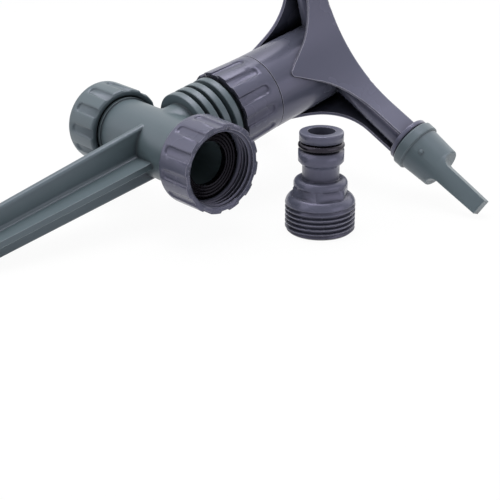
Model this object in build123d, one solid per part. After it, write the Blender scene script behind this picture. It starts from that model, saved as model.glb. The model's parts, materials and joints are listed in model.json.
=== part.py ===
from build123d import *
import math
import os

# Three-arm lawn sprinkler on a ground spike, lying on its side as it was laid down,
# with the click-coupling adapter of the set standing beside it. Millimetres.
# Every piece of the sprinkler is drawn about the centre of the tee: X along the inlet tube
# towards the hose nut, Z along the riser towards the rotor. One placement then lays it down.

# Fits
running_gap = 0.1
free_gap = 0.3
seal_gap = 0.05
seam_gap = 0.4

# Three-quarter inch pipe thread, drawn as plain cylinders
thread_radius = 13.1
thread_gap = 0.3
nut_thread_gap = 0.6
nut_mouth_widening = 1.0
cap_mouth_widening = 0.8
thread_runout = 0.4

# Tee and inlet tube
tube_radius = 12.7
tube_bore_radius = 9.45
cap_bead_radius = 13.35
cap_bead_width = 1.6
cap_thread_length = 12.3
nut_flange_thickness = 2.1
tube_neck_radius = 11.6
tee_round = 3.0

# Riser with its stack of round ribs
riser_radius = 11.75
riser_bore_radius = 8.4
rib_radius = 15.45
rib_starts = (11.95, 16.5, 20.95, 25.9)
rib_thickness = 2.85
rib_edge_round = 0.4
riser_neck_radius = 12.8
riser_thread_length = 8.4
riser_thread_radius = 13.75

# Ground spike with four vanes
upright_vane_thickness = 3.15
level_vane_thickness = 2.4
vane_corner_round = 1.4
vane_edge_round = 1.1
vane_root_width = 23.1
vane_shoulder_width = 18.0
vane_tip_width = 2.5
spike_shoulder_depth = 78.5
spike_length = 107.9

# Hand nuts share one pattern of finger flutes
flute_count = 12
flute_width = 4.2
flute_depth = 0.75

# Hose nut
nut_start = 21.2
nut_length = 15.95
nut_rear_radius = 17.05
nut_mouth_radius = 16.75
nut_rear_wall = 2.7
nut_flute_land = 2.3
nut_edge_round = 1.25
nut_relief = 0.5
nut_flute_turn = 21.0
washer_thickness = 2.5

# End cap
cap_mouth = 23.3
cap_radius = 16.35
cap_end_wall = 2.4
cap_flute_land = 3.4
cap_flute_turn = 12.0
cap_washer_thickness = 2.1
cap_edge_round = 1.25

# Collar nut
collar_gap = 1.75
collar_height = 18.5
collar_bottom_radius = 16.7
collar_top_radius = 15.9
collar_flute_land = 3.8
collar_flute_turn = 2.0

# Rotor bearing
riser_seal_thickness = 1.1
riser_seal_radius = 13.25
rotor_flange_thickness = 3.15
slip_washer_thickness = 1.0
neck_radius = 10.8
spigot_length = 7.9
rotor_bore_radius = 5.25
hub_ring_section = 0.8

# Rotor
rotor_top = 88.7
arm_axis_height = 85.2
hub_radius = 15.9
hub_cavity_radius = 13.0
hub_floor = 3.15
plate_thickness = 2.0
wall_thickness = 1.3
arm_half_width = 6.3
skirt_mid_radius = 16.6
top_edge_round = 0.95
arm_tube_root_radius = 4.4
arm_tube_end_radius = 5.9
arm_bore_radius = 3.15
arm_flange_start = 51.8
arm_flange_thickness = 2.3
arm_flange_radius = 9.35
arm_flange_round = 0.7
nozzle_spigot_radius = 6.7
nozzle_spigot_length = 10.5
arm_turns = (-91.2, 28.8, 148.8)

# Lower edge of the skirt between two arms: a pointed tongue on the hub, sweeping up into the arms
tongue_tip_height = 56.2
tongue_turn = 2.5
tongue_slope = 56.5
tongue_round = 1.5
skirt_edge_height = 79.4
skirt_sweep_radius = 27.1

# Nozzles
nozzle_rim_radius = 10.2
nozzle_rim_width = 4.4
nozzle_rim_chamfer = 0.5
nozzle_body_radius = 9.45
nozzle_end_radius = 8.55
nozzle_body_length = 12.5
nozzle_end_round = 0.8
nozzle_end_wall = 2.3
nozzle_ring_section = 0.75
nozzle_outlet_radius = 0.9
nozzle_mark_radius = 0.95
nozzle_mark_sink = 0.35
nozzle_mark_place = 4.5
nozzle_mark_turn = 6.0
blade_length = 23.6
blade_root_width = 7.25
blade_tip_width = 6.5
blade_root_round = 4.0
blade_tip_face = 7.65
blade_underside = 2.1
blade_tip_crown = 0.12
nozzle_turns = (-40.0, -40.0, 40.0)

# Adapter of the set
adapter_height = 38.1
adapter_thread_length = 10.5
adapter_shoulder_height = 14.05
adapter_hex_width = 18.9
adapter_hex_turn = -22.0
adapter_flange_bottom = 17.5
adapter_flange_top = 20.4
adapter_flange_radius = 10.05
adapter_neck_radius = 6.9
adapter_neck_top = 25.3
adapter_land_radius = 8.45
adapter_land_bottom = 27.1
adapter_spigot_radius = 8.15
adapter_bore_radius = 5.1
adapter_foot_bore_radius = 10.1
adapter_foot_bore_depth = 9.45
adapter_ring_height = 33.0
adapter_ring_section = 1.25
adapter_groove_depth = 2.1
adapter_groove_play = 0.55
adapter_flange_round = 2.0
adapter_shoulder_radius = 10.9
adapter_shoulder_crown = 0.75
adapter_thread_lead = 1.1
adapter_top_round = 0.6
adapter_place = (34.05, -52.7)

# Lying pose
rest_tilt = 13.85
rest_roll = -1.2

nodes = {}


def along_x(shape, turn=0):
    """Turn a piece drawn along Z so that it runs along +X."""
    return Rot(0, 90, 0) * (Rot(0, 0, turn) * shape)


def rod(radius, start, end):
    """A round bar about Z from one height to another."""
    bar = Cylinder(radius, end - start, align=(Align.CENTER, Align.CENTER, Align.MIN))
    return Pos(0, 0, start) * bar


def ring(outer, inner, start, end):
    """A flat washer or tube about Z."""
    return rod(outer, start, end) - rod(inner, start - 1, end + 1)


def tapered_rod(start_radius, end_radius, start, end):
    """A slightly conical bar about Z."""
    bar = Cone(start_radius, end_radius, end - start, align=(Align.CENTER, Align.CENTER, Align.MIN))
    return Pos(0, 0, start) * bar


def o_ring(path_radius, section, height):
    """A rubber ring about Z."""
    return Pos(0, 0, height) * Torus(path_radius, section)


def cut_flutes(nut, round_end, round_end_radius, open_end, open_end_radius, turn):
    """Finger flutes along a nut's skin: round-ended at one end and open at the other."""
    cutter_radius = (flute_width ** 2 / 4 + flute_depth ** 2) / (2 * flute_depth)
    reach = round_end_radius - flute_depth + cutter_radius
    length = open_end - round_end
    taper = math.degrees(math.atan2(open_end_radius - round_end_radius, abs(length)))
    low, high = sorted((0, length + math.copysign(2, length)))
    cutter = rod(cutter_radius, low, high) + Sphere(cutter_radius)
    cutter = Pos(reach, 0, round_end) * Rot(0, math.copysign(taper, taper * length), 0) * cutter
    for step in range(flute_count):
        nut -= Rot(0, 0, turn + step * 360 / flute_count) * cutter
    return nut


# Heights and places that follow from the sizes above
thread_bore_radius = thread_radius + thread_gap
nut_bore_radius = thread_radius + nut_thread_gap
nut_flange_radius = nut_bore_radius - free_gap
cap_thread_start = cap_mouth + thread_runout
tube_cap_end = cap_thread_start + cap_thread_length
cap_inner_end = tube_cap_end + cap_washer_thickness
cap_end = cap_inner_end + cap_end_wall
nut_inner_face = nut_start + nut_rear_wall
nut_flange_start = nut_inner_face + free_gap
tube_nut_end = nut_flange_start + nut_flange_thickness
inlet_washer_end = tube_nut_end + washer_thickness
nut_mouth = nut_start + nut_length
top_rib_top = rib_starts[-1] + rib_thickness
collar_bottom = top_rib_top + collar_gap
collar_top = collar_bottom + collar_height
collar_bore_radius = riser_thread_radius + thread_gap
riser_top = collar_bottom + riser_thread_length
flange_bottom = riser_top + riser_seal_thickness + running_gap
flange_top = flange_bottom + rotor_flange_thickness
slip_bottom = flange_top + running_gap
collar_lip_height = slip_bottom + slip_washer_thickness
hub_bottom = collar_top + seam_gap
arm_flange_end = arm_flange_start + arm_flange_thickness
nozzle_start = arm_flange_end + seam_gap
nozzle_spigot_end = arm_flange_end + nozzle_spigot_length
nozzle_rim_end = nozzle_start + nozzle_rim_width
nozzle_body_end = nozzle_rim_end + nozzle_body_length
nozzle_bore_radius = nozzle_spigot_radius + running_gap
nozzle_ring_place = (nozzle_start + nozzle_spigot_end) / 2
hub_ring_height = flange_bottom - spigot_length / 2
hub_ring_radius = riser_bore_radius - seal_gap - hub_ring_section
nozzle_ring_radius = nozzle_bore_radius - seal_gap - nozzle_ring_section


def spike_body():
    """One moulding: four spike vanes, the tee with its tube, and the ribbed riser."""
    half_root = vane_root_width / 2
    half_shoulder = vane_shoulder_width / 2
    half_tip = vane_tip_width / 2
    outline = make_face(Polyline(
        (half_root, 0),
        (half_shoulder, -spike_shoulder_depth),
        (half_tip, -spike_length),
        (-half_tip, -spike_length),
        (-half_shoulder, -spike_shoulder_depth),
        (-half_root, 0),
        close=True,
    ))
    level_taper = extrude(Plane.XZ * outline, vane_root_width, both=True)
    upright_taper = Rot(0, 0, 90) * level_taper
    cross = Rectangle(2 * vane_root_width, level_vane_thickness)
    cross += Rectangle(upright_vane_thickness, 2 * vane_root_width)
    inner_corners = cross.vertices().sort_by_distance((0, 0))[:4]
    cross = fillet(inner_corners, vane_corner_round)
    vanes = extrude(cross, -spike_length) & level_taper & upright_taper
    upright_edges = vanes.edges().filter_by(
        lambda edge: abs(edge.center().Y) > upright_vane_thickness
        and abs(edge.center().X) > upright_vane_thickness / 2 - 0.01
        and edge.length > spike_length - spike_shoulder_depth - 1
        and abs(edge.center().X) < upright_vane_thickness / 2 + 0.01
    )
    vanes = fillet(upright_edges, vane_edge_round)

    tube = rod(tube_radius, -cap_mouth, nut_start - free_gap)
    tee = along_x(tube) + rod(riser_radius, 0, rib_starts[0] + rib_thickness / 2)
    seam = tee.edges().filter_by(lambda edge: edge.center().Z > 1 and edge.geom_type != GeomType.CIRCLE)
    tee = fillet(seam, tee_round)
    body = vanes + tee

    tube = rod(tube_neck_radius, 0, tube_nut_end)
    tube += rod(cap_bead_radius, -cap_thread_start, cap_bead_width - cap_thread_start)
    tube += rod(thread_radius, -tube_cap_end, -cap_thread_start)
    tube += rod(nut_flange_radius, nut_flange_start, tube_nut_end)

    riser = rod(riser_radius, 0, top_rib_top)
    for start in rib_starts:
        rib = rod(rib_radius, start, start + rib_thickness)
        riser += fillet(rib.edges().filter_by(GeomType.CIRCLE), rib_edge_round)
    riser += rod(riser_neck_radius, top_rib_top, collar_bottom + 1)
    riser += rod(riser_thread_radius, collar_bottom + 1, riser_top)

    body += along_x(tube)
    body += riser
    body -= along_x(rod(tube_bore_radius, -tube_cap_end - 1, tube_nut_end + 1))
    body -= rod(riser_bore_radius, 0, riser_top + 1)
    return body


def hose_nut():
    """Swivel nut: held behind the tube's end flange, open towards the hose."""
    nut = tapered_rod(nut_rear_radius, nut_mouth_radius, nut_start, nut_mouth)
    nut = fillet(nut.edges().filter_by(GeomType.CIRCLE).sort_by(Axis.Z)[0], nut_edge_round)
    nut -= rod(tube_neck_radius + free_gap, nut_start - 1, nut_mouth)
    nut -= rod(nut_bore_radius, nut_inner_face, nut_mouth + 1)
    nut -= rod(nut_bore_radius + nut_relief, nut_inner_face, inlet_washer_end)
    mouth = nut_bore_radius + nut_mouth_widening
    nut -= tapered_rod(nut_bore_radius, mouth, nut_mouth - nut_mouth_widening, nut_mouth)
    round_end = nut_start + nut_flute_land + flute_width / 2
    nut = cut_flutes(nut, round_end, nut_rear_radius, nut_mouth, nut_mouth_radius, nut_flute_turn)
    return along_x(nut)


def end_cap():
    """Closed screw cap on the far end of the tube, same grip as the hose nut."""
    cap = rod(cap_radius, -cap_end, -cap_mouth)
    cap = fillet(cap.edges().filter_by(GeomType.CIRCLE), cap_edge_round)
    cap -= rod(thread_bore_radius, -cap_inner_end, 0)
    mouth = thread_bore_radius + cap_mouth_widening
    cap -= tapered_rod(thread_bore_radius, mouth, -cap_mouth - cap_mouth_widening, -cap_mouth)
    round_end = cap_flute_land + flute_width / 2 - cap_end
    return along_x(cut_flutes(cap, round_end, cap_radius, -cap_mouth, cap_radius, cap_flute_turn))


def collar_nut():
    """Nut on the riser thread whose lip holds the rotor's flange down."""
    nut = tapered_rod(collar_bottom_radius, collar_top_radius, collar_bottom, collar_top)
    nut -= rod(collar_bore_radius, collar_bottom - 1, collar_lip_height)
    nut -= rod(neck_radius + free_gap, collar_bottom, collar_top + 1)
    round_end = collar_top - collar_flute_land - flute_width / 2
    slope = (collar_bottom_radius - collar_top_radius) / collar_height
    round_end_radius = collar_top_radius + slope * (collar_top - round_end)
    return cut_flutes(
        nut, round_end, round_end_radius, collar_bottom, collar_bottom_radius, collar_flute_turn,
    )


def star_outline(half_width, mid_radius, reach):
    """Three straight arms joined by hollow curves that pass mid_radius from the axis."""
    slant = 1 / math.cos(math.radians(30))
    curve_radius = (mid_radius - half_width * slant) / (slant - 1)
    tangent = (curve_radius + half_width) / math.tan(math.radians(60))

    def place(turn, along, across):
        point = Vector(along, across, 0).rotate(Axis.Z, turn)
        return (point.X, point.Y)

    edges = []
    for step in range(3):
        turn = 120 * step
        following = turn + 120
        edges.append(Line(place(turn, reach, -half_width), place(turn, reach, half_width)))
        leave = place(turn, tangent, half_width)
        arrive = place(following, tangent, -half_width)
        edges.append(Line(place(turn, reach, half_width), leave))
        edges.append(ThreePointArc(leave, place(turn + 60, mid_radius, 0), arrive))
        edges.append(Line(arrive, place(following, reach, -half_width)))
    return make_face(edges)


def skirt_trim(reach, low):
    """What is cut away under the skirt between two arms, drawn about +X."""
    slope = math.radians(tongue_slope)
    sweep_start = skirt_edge_height - skirt_sweep_radius * (1 - math.cos(slope))
    start = (sweep_start - tongue_tip_height) / math.tan(slope)
    sweep_end = start + skirt_sweep_radius * math.sin(slope)
    half = make_face([
        Line((0, tongue_tip_height), (start, sweep_start)),
        RadiusArc((start, sweep_start), (sweep_end, skirt_edge_height), skirt_sweep_radius),
        Polyline((sweep_end, skirt_edge_height), (reach, skirt_edge_height), (reach, low)),
        Polyline((reach, low), (0, low), (0, tongue_tip_height)),
    ])
    profile = half + mirror(half, Plane.YZ)
    tip = profile.vertices().sort_by_distance((0, tongue_tip_height))[0]
    profile = fillet(tip, tongue_round)
    trim = extrude(Plane.YZ * profile, reach)
    side = reach * math.tan(math.radians(60))
    sector = make_face(Polyline((0, 0), (reach, -side), (reach, side), close=True))
    return trim & (Pos(0, 0, low) * extrude(sector, rotor_top - low))


def rotor():
    """One moulding: hub, hollow star skirt, three water tubes with flanges, and the bearing spigot."""
    skirt_low = tongue_tip_height - 2
    arm_reach = arm_flange_start + arm_flange_thickness / 2
    outline = star_outline(arm_half_width, skirt_mid_radius, arm_reach)
    star = Pos(0, 0, skirt_low) * extrude(outline, rotor_top - skirt_low)
    star = fillet(star.faces().sort_by(Axis.Z)[-1].edges(), top_edge_round)
    inner = (arm_half_width - wall_thickness, skirt_mid_radius - wall_thickness)
    hollow = extrude(star_outline(*inner, arm_reach), rotor_top - plate_thickness - skirt_low + 1)
    star -= Pos(0, 0, skirt_low - 1) * hollow
    trim = skirt_trim(arm_reach + 10, skirt_low - 2)
    for step in range(3):
        star -= Rot(0, 0, 60 + 120 * step + tongue_turn) * trim

    hub = rod(hub_radius, hub_bottom, rotor_top - plate_thickness / 2)
    for step in range(3):
        tube = tapered_rod(arm_tube_root_radius, arm_tube_end_radius, 0, arm_reach)
        hub += Pos(0, 0, arm_axis_height) * (Rot(0, 0, 120 * step) * along_x(tube))
    above = Pos(0, 0, rotor_top) * Box(300, 300, 40, align=(Align.CENTER, Align.CENTER, Align.MIN))
    body = star + (hub - above)
    body += rod(neck_radius, flange_bottom, hub_bottom + 1)
    body += rod(collar_bore_radius - free_gap, flange_bottom, flange_top)
    body += rod(riser_bore_radius - running_gap, flange_bottom - spigot_length, flange_bottom + 1)

    for step in range(3):
        fitting = rod(arm_flange_radius, arm_flange_start, arm_flange_end)
        fitting = fillet(fitting.edges().filter_by(GeomType.CIRCLE), arm_flange_round)
        fitting += rod(nozzle_spigot_radius, arm_flange_start, nozzle_spigot_end)
        groove = 2 * nozzle_ring_section + seal_gap
        low, high = nozzle_ring_place - groove / 2, nozzle_ring_place + groove / 2
        fitting -= ring(nozzle_spigot_radius + 1, nozzle_ring_radius - nozzle_ring_section, low, high)
        body += Pos(0, 0, arm_axis_height) * (Rot(0, 0, 120 * step) * along_x(fitting))

    body -= rod(hub_cavity_radius, hub_bottom + hub_floor, rotor_top - plate_thickness)
    body -= rod(rotor_bore_radius, flange_bottom - spigot_length - 1, hub_bottom + hub_floor + 1)
    for step in range(3):
        bore = rod(arm_bore_radius, hub_cavity_radius - 2, nozzle_spigot_end + 1)
        body -= Pos(0, 0, arm_axis_height) * (Rot(0, 0, 120 * step) * along_x(bore))
    groove = 2 * hub_ring_section + seal_gap
    low, high = hub_ring_height - groove / 2, hub_ring_height + groove / 2
    body -= ring(riser_bore_radius + 1, hub_ring_radius - hub_ring_section, low, high)
    return body


def nozzle():
    """Turning nozzle along Z: rim ring, tapering body with a side outlet, and a grip blade."""
    shell = rod(nozzle_rim_radius, nozzle_start, nozzle_rim_end)
    shell = chamfer(shell.edges().filter_by(GeomType.CIRCLE), nozzle_rim_chamfer)
    cone = tapered_rod(nozzle_body_radius, nozzle_end_radius, nozzle_rim_end - 1, nozzle_body_end)
    shell += fillet(cone.edges().filter_by(GeomType.CIRCLE).sort_by(Axis.Z)[-1], nozzle_end_round)

    half_root = blade_root_width / 2
    half_tip = blade_tip_width / 2
    blade_end = nozzle_body_end + blade_length
    blade_start = nozzle_body_end - nozzle_end_round

    def blade_section(height, crown, crown_edge, half_width):
        top = ThreePointArc((crown_edge, -half_width), (crown, 0), (crown_edge, half_width))
        rest = Polyline(
            (crown_edge, half_width), (blade_underside, half_width),
            (blade_underside, -half_width), (crown_edge, -half_width),
        )
        return Pos(0, 0, height) * make_face([top, rest])

    taper = (nozzle_body_radius - nozzle_end_radius) / (nozzle_body_length + 1)
    start_radius = nozzle_end_radius + taper * nozzle_end_round
    wide = half_root + blade_root_round
    start_edge = math.sqrt(start_radius ** 2 - wide ** 2)
    crown_end = blade_tip_face + blade_tip_crown
    envelope = loft([
        blade_section(blade_start, start_radius, start_edge, wide),
        blade_section(blade_end, crown_end, blade_tip_face, wide),
    ])
    half_plan = make_face([
        Polyline((0, blade_start), (wide, blade_start), (wide, nozzle_body_end)),
        RadiusArc((wide, nozzle_body_end), (half_root, nozzle_body_end + blade_root_round), blade_root_round),
        Polyline(
            (half_root, nozzle_body_end + blade_root_round), (half_tip, blade_end),
            (0, blade_end), (0, blade_start),
        ),
    ])
    plan = half_plan + mirror(half_plan, Plane.YZ)
    blade = envelope & extrude(Plane.YZ * plan, nozzle_body_radius)
    shell += blade
    mark_reach = nozzle_body_radius - nozzle_mark_sink
    mark = Pos(mark_reach, 0, nozzle_rim_end + nozzle_mark_place) * Sphere(nozzle_mark_radius)
    shell += Rot(0, 0, -nozzle_mark_turn) * mark
    shell -= rod(nozzle_bore_radius, nozzle_start - 1, nozzle_body_end - nozzle_end_wall)
    outlet_place = (nozzle_spigot_end + nozzle_body_end - nozzle_end_wall) / 2
    outlet = Rot(0, -90, 0) * rod(nozzle_outlet_radius, 0, nozzle_body_radius + 1)
    return shell - Pos(0, 0, outlet_place) * outlet


def adapter():
    """Click-coupling spigot with a male pipe thread, standing on its thread."""
    foot_radius = thread_radius - adapter_thread_lead
    crown_radius = (thread_radius + adapter_shoulder_radius) / 2 + adapter_shoulder_crown
    crown_height = (adapter_thread_length + adapter_shoulder_height) / 2
    shoulder = ThreePointArc(
        (thread_radius, adapter_thread_length),
        (crown_radius, crown_height),
        (adapter_shoulder_radius, adapter_shoulder_height),
    )
    foot = Polyline(
        (0, 0),
        (foot_radius, 0),
        (thread_radius, adapter_thread_lead),
        (thread_radius, adapter_thread_length),
    )
    stem = Polyline(
        (adapter_shoulder_radius, adapter_shoulder_height),
        (adapter_neck_radius, adapter_shoulder_height),
        (adapter_neck_radius, adapter_neck_top),
        (adapter_land_radius, adapter_land_bottom),
        (adapter_land_radius, adapter_ring_height - adapter_ring_section),
        (adapter_spigot_radius, adapter_ring_height - adapter_ring_section),
        (adapter_spigot_radius, adapter_height),
        (0, adapter_height),
        (0, 0),
    )
    body = revolve(Plane.XZ * make_face([foot, shoulder, stem]), Axis.Z)
    hexagon = RegularPolygon(adapter_hex_width / 2, 6, major_radius=False)
    hexagon = extrude(hexagon, adapter_flange_bottom - adapter_shoulder_height)
    body += Pos(0, 0, adapter_shoulder_height) * Rot(0, 0, adapter_hex_turn) * hexagon
    flange = rod(adapter_flange_radius, adapter_flange_bottom, adapter_flange_top)
    body += fillet(flange.edges().filter_by(GeomType.CIRCLE).sort_by(Axis.Z)[-1], adapter_flange_round)
    top_edge = body.edges().filter_by(GeomType.CIRCLE).sort_by(Axis.Z)[-1]
    body = fillet(top_edge, adapter_top_round)
    groove = 2 * (adapter_ring_section + adapter_groove_play)
    low, high = adapter_ring_height - groove / 2, adapter_ring_height + groove / 2
    body -= ring(adapter_land_radius + 1, adapter_spigot_radius - adapter_groove_depth, low, high)
    body -= rod(adapter_bore_radius, -1, adapter_height + 1)
    body -= rod(adapter_foot_bore_radius, -1, adapter_foot_bore_depth)
    return body


# Pieces about the tee
nodes["spike_body"] = spike_body()
nodes["hose_nut"] = hose_nut()
inlet_washer = ring(nut_flange_radius - free_gap, tube_bore_radius - 1, tube_nut_end, inlet_washer_end)
nodes["inlet_washer"] = along_x(inlet_washer)
nodes["end_cap"] = end_cap()
nodes["end_cap_washer"] = along_x(rod(thread_radius, -cap_inner_end, -tube_cap_end))
nodes["collar_nut"] = collar_nut()
riser_seal_top = riser_top + riser_seal_thickness
nodes["riser_seal"] = ring(riser_seal_radius, riser_bore_radius + free_gap, riser_top, riser_seal_top)
slip_radius = collar_bore_radius - free_gap
nodes["slip_washer"] = ring(slip_radius, neck_radius + running_gap, slip_bottom, collar_lip_height)
nodes["rotor"] = Rot(0, 0, arm_turns[0]) * rotor()
nodes["hub_o_ring"] = o_ring(hub_ring_radius, hub_ring_section, hub_ring_height)
for number, (arm_turn, twist) in enumerate(zip(arm_turns, nozzle_turns), start=1):
    arm_place = Pos(0, 0, arm_axis_height) * Rot(0, 0, arm_turn)
    nodes[f"nozzle_{number}"] = arm_place * along_x(nozzle(), twist)
    nozzle_ring = o_ring(nozzle_ring_radius, nozzle_ring_section, nozzle_ring_place)
    nodes[f"nozzle_o_ring_{number}"] = arm_place * along_x(nozzle_ring)

# Lay the sprinkler down: riser axis tilted up towards the rotor, tube axis nearly level
tilt, roll = math.radians(rest_tilt), math.radians(rest_roll)
riser_way = Vector(math.cos(tilt), 0, math.sin(tilt))
level_way = Vector(0, -1, 0)
tube_way = level_way * math.cos(roll) + riser_way.cross(level_way) * math.sin(-roll)
lying = Plane(origin=(0, 0, 0), x_dir=tube_way, z_dir=riser_way).location
nodes = {name: lying * piece for name, piece in nodes.items()}
floor = min(piece.bounding_box().min.Z for piece in nodes.values())

# Stand the adapter on the same floor
adapter_spot = Pos(adapter_place[0], adapter_place[1], floor)
ring_path = adapter_spigot_radius - adapter_groove_depth + adapter_ring_section
nodes["adapter"] = adapter_spot * adapter()
nodes["adapter_o_ring"] = adapter_spot * o_ring(ring_path, adapter_ring_section, adapter_ring_height)

# Origin under the middle of the set, on the floor
boxes = [piece.bounding_box() for piece in nodes.values()]
middle_x = (min(box.min.X for box in boxes) + max(box.max.X for box in boxes)) / 2
middle_y = (min(box.min.Y for box in boxes) + max(box.max.Y for box in boxes)) / 2
centre = Pos(-middle_x, -middle_y, -floor)
os.makedirs("parts", exist_ok=True)
for name, piece in nodes.items():
    export_step(centre * piece, f"parts/{name}.step")
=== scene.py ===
import json
import math

import bmesh
import bpy
from mathutils import Matrix, Vector
from mathutils.geometry import intersect_line_line


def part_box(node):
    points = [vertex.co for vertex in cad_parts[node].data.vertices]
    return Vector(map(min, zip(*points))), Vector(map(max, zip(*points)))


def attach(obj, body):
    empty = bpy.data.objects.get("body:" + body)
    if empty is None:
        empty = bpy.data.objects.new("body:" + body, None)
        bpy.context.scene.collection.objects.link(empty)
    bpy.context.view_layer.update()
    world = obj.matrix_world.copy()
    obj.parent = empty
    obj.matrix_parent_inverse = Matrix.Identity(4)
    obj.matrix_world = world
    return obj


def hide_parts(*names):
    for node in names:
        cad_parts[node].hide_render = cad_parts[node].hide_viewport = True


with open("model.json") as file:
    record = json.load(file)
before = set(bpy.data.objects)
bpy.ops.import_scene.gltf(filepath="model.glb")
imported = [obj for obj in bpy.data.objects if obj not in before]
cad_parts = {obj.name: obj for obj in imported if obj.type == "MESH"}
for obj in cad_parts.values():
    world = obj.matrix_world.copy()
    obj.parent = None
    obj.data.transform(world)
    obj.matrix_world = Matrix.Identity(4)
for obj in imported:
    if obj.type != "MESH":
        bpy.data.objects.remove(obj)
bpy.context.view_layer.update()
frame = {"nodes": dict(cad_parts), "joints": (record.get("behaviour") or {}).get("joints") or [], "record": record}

# Ground spike, tee and ribbed riser: one injection moulding in grey-green polypropylene,
# pushed into the lawn up to the tee. It carries the rest of the sprinkler.
# Moulded polypropylene leaves a satin skin, with broad soft lights and faint flow clouds.
mm = 0.001


def linear(code):
    """An sRGB hex colour as linear light."""
    steps = [int(code[place:place + 2], 16) / 255 for place in (1, 3, 5)]
    light = [s / 12.92 if s <= 0.04045 else ((s + 0.055) / 1.055) ** 2.4 for s in steps]
    return (*light, 1.0)


def add(tree, kind, settings, links):
    """One shader node with its settings, its fixed inputs and its links."""
    made = tree.nodes.new(kind)
    for name, value in settings.items():
        if isinstance(name, str) and hasattr(made, name):
            setattr(made, name, value)
        else:
            made.inputs[name].default_value = value
    for name, source in links.items():
        tree.links.new(source, made.inputs[name])
    return made


def moulded_polypropylene(
    name, body_colours, edge_highlight_colour, edge_highlight_share, sheen_colour, roughness, painted_shade_reach,
):
    """Satin moulded plastic: flow clouds, a fine tool grain, a painted highlight on open edges
    and painted shade in recesses."""
    cloud_size = 22 * mm
    # A spark-eroded tool leaves a grain of about 0.05 mm; it is drawn ten times as coarse, so that it shows.
    grain_size = 0.5 * mm
    grain_depth = 0.006 * mm
    edge_radius = 0.45 * mm
    plastic = bpy.data.materials.new(name)
    plastic.use_nodes = True
    tree = plastic.node_tree
    skin = tree.nodes["Principled BSDF"]
    skin.inputs["IOR"].default_value = 1.49
    skin.inputs["Specular Tint"].default_value = linear(sheen_colour)
    place = add(tree, "ShaderNodeTexCoord", {}, {}).outputs["Object"]
    cloud = add(tree, "ShaderNodeTexNoise", {"Scale": 1 / cloud_size, "Detail": 3.0}, {"Vector": place})
    grain = add(tree, "ShaderNodeTexNoise", {"Scale": 1 / grain_size, "Detail": 2.0}, {"Vector": place})
    # The painted edge highlight goes where the rounded surface turns away from the true one, and only on open
    # corners.
    soft_edge = add(tree, "ShaderNodeBevel", {"samples": 6, "Radius": edge_radius}, {})
    true_face = add(tree, "ShaderNodeNewGeometry", {}, {})
    turn = add(
        tree, "ShaderNodeVectorMath", {"operation": "DISTANCE"},
        {0: soft_edge.outputs["Normal"], 1: true_face.outputs["Normal"]},
    )
    painted_edge_mask = add(
        tree, "ShaderNodeMapRange", {"From Min": 0.12, "From Max": 0.7, "To Max": edge_highlight_share},
        {"Value": turn.outputs["Value"]},
    )
    nearby = add(tree, "ShaderNodeAmbientOcclusion", {"samples": 6, "Distance": 4 * edge_radius}, {})
    open_corner = add(
        tree, "ShaderNodeMapRange", {"From Min": 0.45, "From Max": 0.85}, {"Value": nearby.outputs["AO"]},
    )
    painted_highlight_mask = add(
        tree, "ShaderNodeMath", {"operation": "MULTIPLY"},
        {0: painted_edge_mask.outputs["Result"], 1: open_corner.outputs["Result"]},
    )
    clouded = add(
        tree, "ShaderNodeMix",
        {"data_type": "RGBA", 6: linear(body_colours[0]), 7: linear(body_colours[1])},
        {0: cloud.outputs["Fac"]},
    )
    # Painted highlight: a pale edge colour mixed into the body colour along open edges.
    painted_highlight_mix = add(
        tree, "ShaderNodeMix", {"data_type": "RGBA", 7: linear(edge_highlight_colour)},
        {0: painted_highlight_mask.outputs[0], 6: clouded.outputs[2]},
    )
    # Painted shade: ambient occlusion darkens the colour in recesses, creases and corners.
    painted_recess_shade = add(
        tree, "ShaderNodeAmbientOcclusion", {"samples": 8, "Distance": painted_shade_reach},
        {"Color": painted_highlight_mix.outputs[2]},
    )
    rough = add(
        tree, "ShaderNodeMapRange", {"To Min": roughness - 0.05, "To Max": roughness + 0.06},
        {"Value": cloud.outputs["Fac"]},
    )
    bump = add(
        tree, "ShaderNodeBump", {"Strength": 0.5, "Distance": grain_depth},
        {"Height": grain.outputs["Fac"], "Normal": soft_edge.outputs["Normal"]},
    )
    tree.links.new(painted_recess_shade.outputs["Color"], skin.inputs["Base Color"])
    tree.links.new(rough.outputs["Result"], skin.inputs["Roughness"])
    tree.links.new(bump.outputs["Normal"], skin.inputs["Normal"])
    return plastic


def dress(material, *names):
    """Give CAD nodes their finish."""
    for name in names:
        piece = frame["nodes"][name]
        piece.data.materials.clear()
        piece.data.materials.append(material)


green_plastic = moulded_polypropylene(
    "moulded_polypropylene_grey_green",
    body_colours=("#4e5b60", "#566368"),
    edge_highlight_colour="#a3adb0",
    edge_highlight_share=0.5,
    sheen_colour="#ece8ff",
    roughness=0.38,
    painted_shade_reach=2.2 * mm,
)
dress(green_plastic, "spike_body")

# Hose nut: a cool grey moulding that turns freely behind the tube's flange,
# with finger flutes outside and a coarse pipe thread inside. A flat rubber washer seals it.
joints = {joint["name"]: joint for joint in frame["joints"]}
mounts = {mount["name"]: mount for mount in frame["record"]["mounts"]}
tube_line = Vector(joints["hose_nut_swivel"]["axis"])
tube_point = Vector(joints["hose_nut_swivel"]["pos_m"])
riser_line = Vector(joints["rotor_spin"]["axis"])
riser_point = Vector(joints["rotor_spin"]["pos_m"])
tee_centre = intersect_line_line(
    tube_point, tube_point + tube_line, riser_point, riser_point + riser_line,
)[0]
grey_plastic = moulded_polypropylene(
    "moulded_polypropylene_cool_grey",
    body_colours=("#4e505f", "#565867"),
    edge_highlight_colour="#a09fae",
    edge_highlight_share=0.8,
    sheen_colour="#e0d9ff",
    roughness=0.26,
    painted_shade_reach=4.5 * mm,
)


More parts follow.
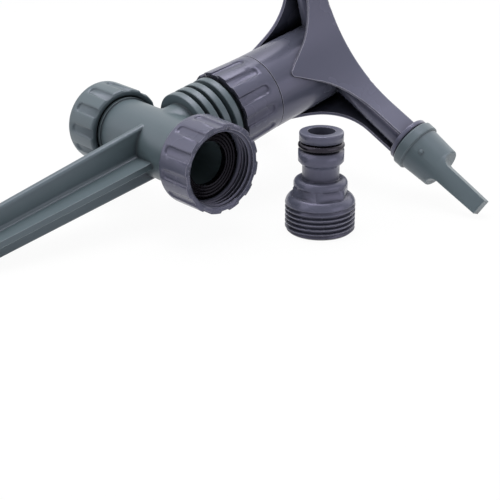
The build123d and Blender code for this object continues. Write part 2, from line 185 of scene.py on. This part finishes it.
def cutter(name, bm):
    """A finished cutting tool from its closed surface."""
    bmesh.ops.recalc_face_normals(bm, faces=bm.faces)
    mesh = bpy.data.meshes.new(name)
    bm.to_mesh(mesh)
    bm.free()
    made = bpy.data.objects.new(name, mesh)
    bpy.context.scene.collection.objects.link(made)
    return made


def helix(name, start_point, axis, start_side, pitch, turns, fade, profile):
    """A thread groove's cutter: a small closed profile swept along a screw line. The profile gives
    (radius, shift along the axis), and over the first and last turns it fades to its first radius."""
    steps_per_turn = 96
    least_growth = 0.02
    steps = int(turns * steps_per_turn)
    across = axis.cross(start_side)
    bm = bmesh.new()
    rows = []
    for step in range(steps + 1):
        done = step / steps_per_turn
        grown = max(min(1.0, done / fade, (turns - done) / fade), least_growth)
        angle = 2 * math.pi * done
        out = start_side * math.cos(angle) + across * math.sin(angle)
        row = []
        for radius, shift in profile:
            reach = profile[0][0] + (radius - profile[0][0]) * grown
            row.append(bm.verts.new(start_point + axis * (pitch * done + shift) + out * reach))
        rows.append(row)
    count = len(profile)
    for first, second in zip(rows, rows[1:]):
        for corner in range(count):
            after = (corner + 1) % count
            bm.faces.new((first[corner], first[after], second[after], second[corner]))
    bm.faces.new(rows[0])
    bm.faces.new(reversed(rows[-1]))
    return cutter(name, bm)


def flutes(name, axis, first_side, round_end, open_end):
    """Twelve finger flutes round a nut: steep-sided, round at one end and open at the other.
    An end gives (place along the axis from the tee's centre, nut radius there)."""
    flute_count = 12
    # From the floor of a flute to above the nut's skin, in mm: (half width, height over the skin)
    levels = ((1.3, -0.75), (1.68, -0.56), (1.92, -0.2), (2.14, 0.0), (2.7, 0.4))
    arc_steps = 16
    round_place, round_radius = round_end
    open_place, open_radius = open_end
    past_end = math.copysign(2 * mm, open_place - round_place)
    away = math.copysign(1.0, round_place - open_place)
    slope = (open_radius - round_radius) / (open_place - round_place)
    bm = bmesh.new()
    for turn in range(flute_count):
        out = Matrix.Rotation(2 * math.pi * turn / flute_count, 3, axis) @ first_side
        side = axis.cross(out)
        loops = []
        for half_width, height in levels:
            reach = half_width * mm
            outline = [(-reach, open_place + past_end)]
            for step in range(arc_steps + 1):
                angle = math.pi * step / arc_steps
                outline.append((-reach * math.cos(angle), round_place + away * reach * math.sin(angle)))
            outline.append((reach, open_place + past_end))
            loops.append([
                bm.verts.new(
                    tee_centre + side * across + axis * along
                    + out * (round_radius + slope * (along - round_place) + height * mm)
                )
                for across, along in outline
            ])
        for lower, upper in zip(loops, loops[1:]):
            for corner in range(len(lower)):
                after = (corner + 1) % len(lower)
                bm.faces.new((lower[corner], lower[after], upper[after], upper[corner]))
        bm.faces.new(loops[0])
        bm.faces.new(reversed(loops[-1]))
    return cutter(name, bm)


def recut(name, node, body, cutters, material):
    """A CAD node's visible form: a copy of its mesh with threads or flutes cut in."""
    weld_reach = 0.0005 * mm
    crease = math.radians(32)
    made = bpy.data.objects.new(name, frame["nodes"][node].data.copy())
    made.matrix_world = frame["nodes"][node].matrix_world
    bpy.context.scene.collection.objects.link(made)
    welded = bmesh.new()
    welded.from_mesh(made.data)
    bmesh.ops.remove_doubles(welded, verts=welded.verts, dist=weld_reach)
    welded.to_mesh(made.data)
    welded.free()
    for tool in cutters:
        cut = made.modifiers.new(tool.name, "BOOLEAN")
        cut.object = tool
        cut.operation = "DIFFERENCE"
        cut.solver = "EXACT"
    bpy.context.view_layer.update()
    cut_mesh = bpy.data.meshes.new_from_object(made.evaluated_get(bpy.context.evaluated_depsgraph_get()))
    made.modifiers.clear()
    made.data = cut_mesh
    for tool in cutters:
        bpy.data.objects.remove(tool)
    cut_mesh.polygons.foreach_set("use_smooth", [True] * len(cut_mesh.polygons))
    cut_mesh.set_sharp_from_angle(angle=crease)
    cut_mesh.materials.clear()
    cut_mesh.materials.append(material)
    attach(made, body)
    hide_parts(node)


# The pipe thread has fourteen turns to the inch.
thread_pitch = 1.814 * mm
nut_bore = mounts["hose_inlet"]["dims"]["r_mm"] * mm
nut_groove_start = 29.2 * mm
nut_groove_overlap = 0.4 * mm
nut_groove_depth = 1.2 * mm
nut_groove_half_mouth = 0.95 * mm
nut_groove_half_root = 0.3 * mm
nut_groove = helix(
    "hose_nut_groove_cutter",
    start_point=tee_centre + tube_line * nut_groove_start,
    axis=tube_line,
    start_side=riser_line,
    pitch=thread_pitch,
    turns=4.9,
    fade=0.3,
    profile=(
        (nut_bore - nut_groove_overlap, -nut_groove_half_mouth),
        (nut_bore - nut_groove_overlap, nut_groove_half_mouth),
        (nut_bore + nut_groove_depth, nut_groove_half_root),
        (nut_bore + nut_groove_depth, -nut_groove_half_root),
    ),
)
nut_flute_turn = math.radians(20.58)
nut_flutes = flutes(
    "hose_nut_flute_cutter",
    axis=tube_line,
    first_side=Matrix.Rotation(nut_flute_turn, 3, tube_line) @ riser_line,
    round_end=(25.6 * mm, 17.05 * mm),
    open_end=(37.15 * mm, 16.75 * mm),
)
recut(
    "hose_nut_threaded", "hose_nut", "swivel_nut", (nut_groove, nut_flutes), grey_plastic,
)

# Hose washer: pressed nitrile rubber, black with a faint sheen, its face turned with fine
# sealing rings. The other washers and O-rings are of the same rubber, smooth and oiled.


def nitrile_rubber(name, ring_centre, ring_height, shine):
    """Black pressed rubber with a dusty bloom and turned rings about an axis along Y."""
    bloom_size = 1.6 * mm
    ring_period = 1.2 * mm
    # Blender's ring wave repeats every 2 pi / 20 of a unit at scale 1.
    waves_per_unit = 20 / (2 * math.pi)
    made = bpy.data.materials.new(name)
    made.use_nodes = True
    tree = made.node_tree
    skin = tree.nodes["Principled BSDF"]
    skin.inputs["IOR"].default_value = 1.52
    skin.inputs["Specular IOR Level"].default_value = shine
    skin.inputs["Specular Tint"].default_value = linear("#ece4ff")
    place = add(tree, "ShaderNodeTexCoord", {}, {}).outputs["Object"]
    bloom = add(tree, "ShaderNodeTexNoise", {"Scale": 1 / bloom_size, "Detail": 4.0}, {"Vector": place})
    centred = add(tree, "ShaderNodeMapping", {"Location": -ring_centre}, {"Vector": place})
    rings = add(
        tree, "ShaderNodeTexWave",
        {"wave_type": "RINGS", "rings_direction": "Y", "Scale": 1 / (ring_period * waves_per_unit)},
        {"Vector": centred.outputs[0]},
    )
    shade = add(
        tree, "ShaderNodeMix", {"data_type": "RGBA", 6: linear("#060507"), 7: linear("#0f0d11")},
        {0: bloom.outputs["Fac"]},
    )
    rough = add(
        tree, "ShaderNodeMapRange", {"To Min": 0.22, "To Max": 0.32}, {"Value": bloom.outputs["Fac"]},
    )
    bump = add(
        tree, "ShaderNodeBump", {"Strength": 1.0, "Distance": ring_height},
        {"Height": rings.outputs["Fac"]},
    )
    tree.links.new(shade.outputs[2], skin.inputs["Base Color"])
    tree.links.new(rough.outputs["Result"], skin.inputs["Roughness"])
    tree.links.new(bump.outputs["Normal"], skin.inputs["Normal"])
    return made


washer_distance = 28.7 * mm
washer_centre = tee_centre + tube_line * washer_distance
ringed_rubber = nitrile_rubber(
    "pressed_nitrile_rubber_ringed", washer_centre, ring_height=0.34 * mm, shine=0.18,
)
rubber = nitrile_rubber(
    "pressed_nitrile_rubber", washer_centre, ring_height=0.004 * mm, shine=0.4,
)
dress(ringed_rubber, "inlet_washer")

# End cap: the closed fluted cap on the far end of the tube, in the spike's own plastic,
# screwed down on a rubber disc.
cap_line = -tube_line
cap_flute_turn = math.radians(18.0)
cap_flutes = flutes(
    "end_cap_flute_cutter",
    axis=cap_line,
    first_side=Matrix.Rotation(cap_flute_turn, 3, cap_line) @ riser_line,
    round_end=(35.0 * mm, 16.35 * mm),
    open_end=(23.3 * mm, 16.35 * mm),
)
recut("end_cap_fluted", "end_cap", "cap", (cap_flutes,), green_plastic)
dress(rubber, "end_cap_washer")

# Collar nut: a cool grey moulding, screwed on the riser to hold the rotor there.
# Inside it a rubber seal and a pale ring of moulded acetal, slippery and waxy, let the rotor turn.
collar_flute_turn = math.radians(2.0)
collar_flutes = flutes(
    "collar_flute_cutter",
    axis=riser_line,
    first_side=Matrix.Rotation(collar_flute_turn, 3, riser_line) @ cap_line,
    round_end=(43.1 * mm, 16.15 * mm),
    open_end=(30.5 * mm, 16.7 * mm),
)
recut("collar_nut_fluted", "collar_nut", "stand", (collar_flutes,), grey_plastic)
dress(rubber, "riser_seal")
acetal = moulded_polypropylene(
    "moulded_acetal_natural",
    body_colours=("#d6d2c6", "#dedbd0"),
    edge_highlight_colour="#e6e3da",
    edge_highlight_share=0.5,
    sheen_colour="#ffffff",
    roughness=0.3,
    painted_shade_reach=2.5 * mm,
)
dress(acetal, "slip_washer")

# Rotor: hub, hollow star skirt and three water arms in one cool grey moulding. Its thin walls end
# in sharp parting edges, which carry a strong painted highlight as a crisp pale line. A rubber ring seals its
# spigot in the riser.
rotor_plastic = moulded_polypropylene(
    "moulded_polypropylene_cool_grey_crisp",
    body_colours=("#4e505f", "#565867"),
    edge_highlight_colour="#c2c1cf",
    edge_highlight_share=1.0,
    sheen_colour="#e0d9ff",
    roughness=0.26,
    painted_shade_reach=4.5 * mm,
)
dress(rotor_plastic, "rotor")
dress(rubber, "hub_o_ring")

# Nozzles: three turning grey-green tips with a grip blade, each snapped over an arm's spigot
# and its rubber ring.
for number in (1, 2, 3):
    dress(green_plastic, f"nozzle_{number}")
    dress(rubber, f"nozzle_o_ring_{number}")

# Adapter: the click-coupling spigot of the set, a cool grey moulding with a male pipe thread,
# a spanner hexagon and one rubber ring. It stands loose beside the sprinkler.
adapter_low, adapter_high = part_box("adapter")
adapter_foot = Vector((
    (adapter_low[0] + adapter_high[0]) / 2,
    (adapter_low[1] + adapter_high[1]) / 2,
    adapter_low[2],
))
upright = Vector((0, 0, 1))
front_side = Vector((-0.577, -0.817, 0.0)).normalized()
thread_radius = mounts["adapter_thread"]["dims"]["r_mm"] * mm
lowest_groove = 1.4 * mm
groove_fade = 2.0
groove_overlap = 0.5 * mm
groove_depth = 1.1 * mm
groove_half_mouth = 0.95 * mm
groove_half_root = 0.2 * mm
groove = helix(
    "adapter_groove_cutter",
    start_point=adapter_foot + upright * (lowest_groove - groove_fade * thread_pitch),
    axis=upright,
    start_side=front_side,
    pitch=thread_pitch,
    turns=8.7,
    fade=groove_fade,
    profile=(
        (thread_radius + groove_overlap, -groove_half_mouth),
        (thread_radius - groove_depth, -groove_half_root),
        (thread_radius - groove_depth, groove_half_root),
        (thread_radius + groove_overlap, groove_half_mouth),
    ),
)
recut("adapter_threaded", "adapter", "adapter", (groove,), grey_plastic)
dress(rubber, "adapter_o_ring")

# Floor: a seamless sheet of pale matt background paper, rolled out under the pieces.
# It looks white to the camera and keeps a faint shadow.


def straight_looks(tree):
    """One where the camera, a gloss or something clear sees the backdrop; zero for the light it gives."""
    ray = add(tree, "ShaderNodeLightPath", {}, {})
    mirrored = add(
        tree, "ShaderNodeMath", {"operation": "MAXIMUM"},
        {0: ray.outputs["Is Camera Ray"], 1: ray.outputs["Is Glossy Ray"]},
    )
    return add(
        tree, "ShaderNodeMath", {"operation": "MAXIMUM"},
        {0: mirrored.outputs[0], 1: ray.outputs["Is Transmission Ray"]},
    ).outputs[0]


floor_reach = 3.0
floor_drop = 0.2 * mm
fibre_size = 3 * mm
fibre_depth = 0.05 * mm
white_share = 0.95
floor_mesh = bpy.data.meshes.new("floor")
floor_mesh.from_pydata(
    [(x * floor_reach, y * floor_reach, 0) for x, y in ((-1, -1), (1, -1), (1, 1), (-1, 1))],
    [], [(0, 1, 2, 3)],
)
floor = bpy.data.objects.new("floor", floor_mesh)
floor.location.z = -floor_drop
bpy.context.scene.collection.objects.link(floor)
paper = bpy.data.materials.new("white_background_paper")
paper.use_nodes = True
paper_tree = paper.node_tree
paper_skin = paper_tree.nodes["Principled BSDF"]
paper_skin.inputs["Base Color"].default_value = linear("#eeeeee")
paper_skin.inputs["Roughness"].default_value = 0.9
paper_fibre = add(
    paper_tree, "ShaderNodeTexNoise", {"Scale": 1 / fibre_size, "Detail": 3.0},
    {"Vector": add(paper_tree, "ShaderNodeTexCoord", {}, {}).outputs["Object"]},
)
paper_bump = add(
    paper_tree, "ShaderNodeBump", {"Strength": 0.1, "Distance": fibre_depth},
    {"Height": paper_fibre.outputs["Fac"]},
)
paper_tree.links.new(paper_bump.outputs["Normal"], paper_skin.inputs["Normal"])
paper_glow = add(paper_tree, "ShaderNodeEmission", {"Color": linear("#ffffff"), "Strength": 1.0}, {})
seen_white = add(
    paper_tree, "ShaderNodeMath", {"operation": "MULTIPLY", 1: white_share},
    {0: straight_looks(paper_tree)},
)
paper_mix = add(
    paper_tree, "ShaderNodeMixShader", {},
    {0: seen_white.outputs[0], 1: paper_skin.outputs[0], 2: paper_glow.outputs[0]},
)
paper_tree.links.new(paper_mix.outputs[0], paper_tree.nodes["Material Output"].inputs["Surface"])
floor_mesh.materials.append(paper)

# Light: an even white room with four soft boxes: a strong one overhead, a weak one at the left,
# a broad one low in front and a broad one high at the right.
room_level = 0.24
world = bpy.data.worlds.new("white_studio")
bpy.context.scene.world = world
world.use_nodes = True
world_tree = world.node_tree
background = world_tree.nodes["Background"]
background.inputs["Color"].default_value = linear("#ffffff")
level = add(
    world_tree, "ShaderNodeMapRange", {"To Min": room_level, "To Max": 1.0},
    {"Value": straight_looks(world_tree)},
)
world_tree.links.new(level.outputs["Result"], background.inputs["Strength"])
lamp_aim = Vector((0, 0, 0.05))
for name, place, side, watts in (
    ("overhead_softbox", (0.1, 0.14, 0.86), 0.6, 6.9),
    ("left_softbox", (-0.5, 0.26, 0.5), 0.7, 2.2),
    ("front_softbox", (0.35, -1.15, 0.16), 1.0, 4.6),
    ("right_softbox", (0.85, 0.1, 0.7), 1.2, 4.0),
):
    lamp = bpy.data.lights.new(name, "AREA")
    lamp.size = side
    lamp.energy = watts
    softbox = bpy.data.objects.new(name, lamp)
    softbox.location = place
    softbox.visible_camera = False
    softbox.rotation_euler = (lamp_aim - Vector(place)).to_track_quat("-Z", "Y").to_euler()
    bpy.context.scene.collection.objects.link(softbox)

# Camera: a short telephoto above the left front, close enough that the top arm
# and the spike's point leave the frame.
camera_data = bpy.data.cameras.new("camera")
camera_data.lens = 79.6
camera_data.sensor_width = 36.0
camera_data.clip_start = 0.01
camera = bpy.data.objects.new("camera", camera_data)
camera.location = Vector((-231.33, -332.4, 153.42)) * mm
looking_back = -Vector((0.59152, 0.7076, -0.38664)).normalized()
camera_top = Vector((0.00698, 0.0, 1.0))
sideways = camera_top.cross(looking_back).normalized()
upward = looking_back.cross(sideways)
camera.rotation_euler = Matrix((sideways, upward, looking_back)).transposed().to_euler()
bpy.context.scene.collection.objects.link(camera)
bpy.context.scene.camera = camera
bpy.context.scene.view_settings.view_transform = "Standard"
